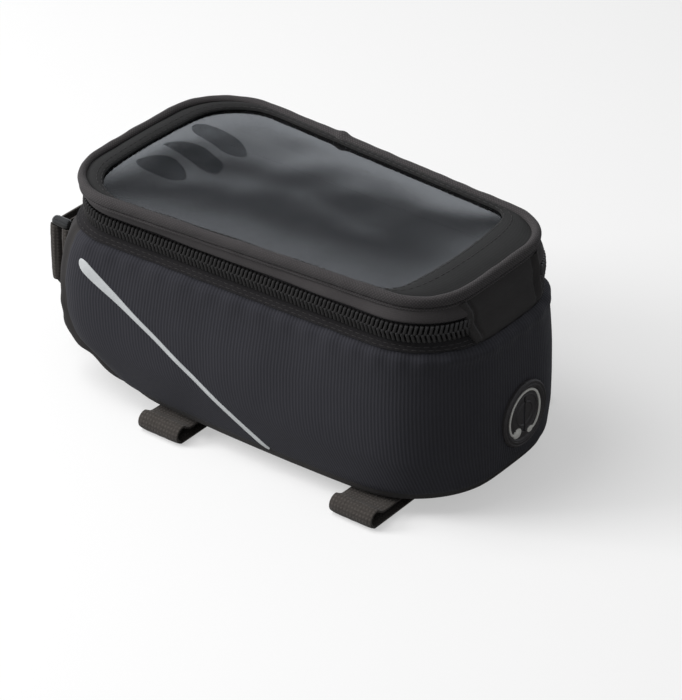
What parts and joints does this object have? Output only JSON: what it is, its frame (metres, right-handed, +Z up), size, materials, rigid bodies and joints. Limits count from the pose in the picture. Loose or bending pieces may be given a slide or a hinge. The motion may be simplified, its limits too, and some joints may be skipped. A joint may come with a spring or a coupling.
{
  "type": "handlebar bag",
  "caption": "Soft bicycle bag with a zipped, end-hinged lid, a clear phone window, a rubber cable port, reflective stripes and webbing straps that tie it to the frame and stem.",
  "frame": {"origin": "on the floor under the middle of the whole box, the straps counted", "axes": "+X from the strap end to the end with the cable port and the lid's hinge, +Y to the long side that carries the zip's slider, +Z up"},
  "size_m": [0.2145, 0.1206, 0.0945],
  "materials": {
    "ribbed_cloth": "black cloth with fine upright ribs, laminated to foam",
    "plain_cloth": "plain matt black cloth on foam",
    "lid_cloth": "plain matt brownish black cloth",
    "binding_cloth": "knitted binding tape with a fine grain",
    "zip_tape": "woven black zip tape",
    "nylon": "moulded dark nylon",
    "dark_metal": "black lacquered die-cast metal",
    "clear_film": "clear flexible glossy film",
    "rubber": "matt moulded black rubber",
    "black_plastic": "smooth black plastic",
    "reflective_tape": "silver-grey reflective tape",
    "webbing": "brownish grey loop-faced webbing",
    "hook_tape": "black hook tape",
    "board": "plain stiff plastic sheet"
  },
  "bodies": {
    "bag": {"side_panel": "ribbed_cloth", "strap_end_panel": "plain_cloth", "base_panel": "plain_cloth", "base_board": "board", "lower_zip_tape": "zip_tape", "lower_zip_teeth": "nylon", "port_grommet": "rubber", "port_washer": "black_plastic", "reflective_stripe_left": "reflective_tape", "reflective_stripe_right": "reflective_tape", "frame_strap_1": "webbing", "frame_strap_2": "webbing", "frame_strap_hook_1": "hook_tape", "frame_strap_hook_2": "hook_tape", "stem_strap": "webbing", "stem_strap_hook": "hook_tape", "stem_tab": "webbing", "stem_ring": "black_plastic"},
    "lid": {"hinge_panel": "plain_cloth", "lid_wall": "lid_cloth", "lid_binding": "binding_cloth", "lid_frame": "lid_cloth", "window_film": "clear_film", "phone_pocket": "lid_cloth", "upper_zip_tape": "zip_tape", "upper_zip_teeth": "nylon"},
    "slider": {"zip_slider": "dark_metal"},
    "pull": {"zip_pull": "dark_metal"}
  },
  "joints": [
    {"name": "lid_hinge", "type": "hinge", "parent": "bag", "child": "lid", "pos_m": [0.10295, 0, 0.0723], "axis": [0, 1, 0], "range_deg": [0, 110]},
    {"name": "slider_slide", "type": "slide", "parent": "bag", "child": "slider", "axis": [-0.9996, 0.0268, 0], "range_m": [0, 0.112]},
    {"name": "pull_hinge", "type": "hinge", "parent": "slider", "child": "pull", "pos_m": [0.06335, 0.0473, 0.08], "axis": [0, 0, -1], "range_deg": [0, 180]}
  ]
}
